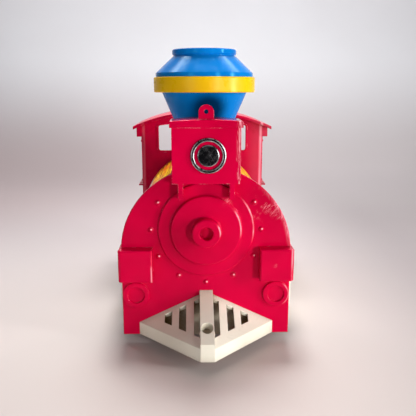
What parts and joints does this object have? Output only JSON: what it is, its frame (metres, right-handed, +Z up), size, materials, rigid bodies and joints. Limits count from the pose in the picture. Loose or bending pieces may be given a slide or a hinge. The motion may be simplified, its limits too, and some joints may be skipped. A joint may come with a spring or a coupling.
{
  "type": "toy train locomotive",
  "caption": "Battery-driven toy steam locomotive with a diamond smokestack, headlamp box, open cab, slotted cowcatcher, spoked wheels, side rods and a rear coupler.",
  "frame": {"origin": "on the floor, at the middle of the locomotive's length and width", "axes": "-Y forwards out of the smokebox front, +X to the right of someone facing the front, +Z up"},
  "size_m": [0.1432, 0.272, 0.2168],
  "materials": {
    "red_plastic": "glossy moulded polystyrene, crimson red",
    "blue_plastic": "glossy moulded polystyrene, bright blue",
    "yellow_plastic": "glossy moulded polystyrene, warm yellow",
    "cream_plastic": "satin moulded plastic, cream",
    "black_plastic": "satin black moulded plastic",
    "printed_label": "printed, varnished paper label",
    "chrome_foil": "hot-stamped chrome",
    "mirror_disc": "dark scratched mirror",
    "steel": "drawn steel",
    "rod_yellow": "glossy yellow plastic",
    "white_nylon": "natural nylon",
    "motor_steel": "zinc-plated steel",
    "tyre_rubber": "soft black rubber",
    "cell_jacket": "lacquered steel jacket, plain",
    "contact_brass": "nickelled brass strip",
    "switch_black": "black moulded switch body",
    "switch_yellow": "yellow knob"
  },
  "bodies": {
    "locomotive": {"smokebox_front": "red_plastic", "cylinder_box_left": "red_plastic", "cylinder_box_right": "red_plastic", "boiler_shell": "red_plastic", "boiler_label_left": "printed_label", "boiler_label_right": "printed_label", "headlamp_box": "red_plastic", "headlamp_ring": "chrome_foil", "headlamp_mirror": "mirror_disc", "stack_lower": "blue_plastic", "stack_band": "yellow_plastic", "stack_upper": "blue_plastic", "steam_dome": "blue_plastic", "cab_shell": "red_plastic", "cab_roof": "red_plastic", "running_board": "red_plastic", "chassis_frame": "black_plastic", "chassis_screws": "steel", "axle_bushes": "white_nylon", "pilot": "cream_plastic", "gearbox_frame": "white_nylon", "motor_can": "motor_steel", "motor_end_cap": "white_nylon", "battery_cell_left": "cell_jacket", "battery_cell_right": "cell_jacket", "battery_contacts": "contact_brass", "switch_body": "switch_black", "coupler_pin": "steel"},
    "rear_wheelset": {"rear_axle": "steel", "rear_wheel_left": "cream_plastic", "rear_wheel_right": "cream_plastic", "traction_tyre_left": "tyre_rubber", "traction_tyre_right": "tyre_rubber", "rear_crank_pins": "steel", "axle_gear": "white_nylon"},
    "front_wheelset": {"front_axle": "steel", "front_wheel_left": "cream_plastic", "front_wheel_right": "cream_plastic", "front_crank_pins": "steel"},
    "rod_left": {"side_rod_left": "rod_yellow"},
    "rod_right": {"side_rod_right": "rod_yellow"},
    "idler": {"idler_gear": "white_nylon", "idler_shaft": "steel"},
    "rotor": {"motor_rotor": "steel", "motor_pinion": "white_nylon"},
    "door": {"battery_door": "black_plastic"},
    "switch": {"switch_knob": "switch_yellow"},
    "coupler": {"coupler_hook": "black_plastic"}
  },
  "joints": [
    {"name": "rear_wheel_spin", "type": "hinge", "parent": "locomotive", "child": "rear_wheelset", "pos_m": [0, 0.058, 0.032], "axis": [1, 0, 0], "continuous": true},
    {"name": "front_wheel_spin", "type": "hinge", "parent": "locomotive", "child": "front_wheelset", "pos_m": [0, -0.036, 0.032], "axis": [1, 0, 0], "continuous": true},
    {"name": "rod_left_swing", "type": "hinge", "parent": "rear_wheelset", "child": "rod_left", "pos_m": [-0.068, 0.0679, 0.0419], "axis": [1, 0, 0], "continuous": true},
    {"name": "rod_right_swing", "type": "hinge", "parent": "rear_wheelset", "child": "rod_right", "pos_m": [0.068, 0.0679, 0.0221], "axis": [1, 0, 0], "continuous": true},
    {"name": "idler_spin", "type": "hinge", "parent": "locomotive", "child": "idler", "pos_m": [-0.02, 0.07705, 0.043], "axis": [1, 0, 0], "continuous": true},
    {"name": "rotor_spin", "type": "hinge", "parent": "locomotive", "child": "rotor", "pos_m": [0, 0.05973, 0.053], "axis": [1, 0, 0], "continuous": true},
    {"name": "battery_door_slide", "type": "slide", "parent": "locomotive", "child": "door", "axis": [0, 1, 0], "range_m": [0, 0.025]},
    {"name": "switch_slide", "type": "slide", "parent": "locomotive", "child": "switch", "axis": [1, 0, 0], "range_m": [0, 0.006]},
    {"name": "coupler_swing", "type": "hinge", "parent": "locomotive", "child": "coupler", "pos_m": [0, 0.12, 0.0288], "axis": [0, 0, 1], "range_deg": [-30, 30]}
  ],
  "couplings": [
    {"joint": "front_wheel_spin", "follows": "rear_wheel_spin", "ratio": 1},
    {"joint": "rod_left_swing", "follows": "rear_wheel_spin", "ratio": -1},
    {"joint": "rod_right_swing", "follows": "rear_wheel_spin", "ratio": -1},
    {"joint": "idler_spin", "follows": "rear_wheel_spin", "ratio": -2.6667},
    {"joint": "rotor_spin", "follows": "rear_wheel_spin", "ratio": 8}
  ]
}
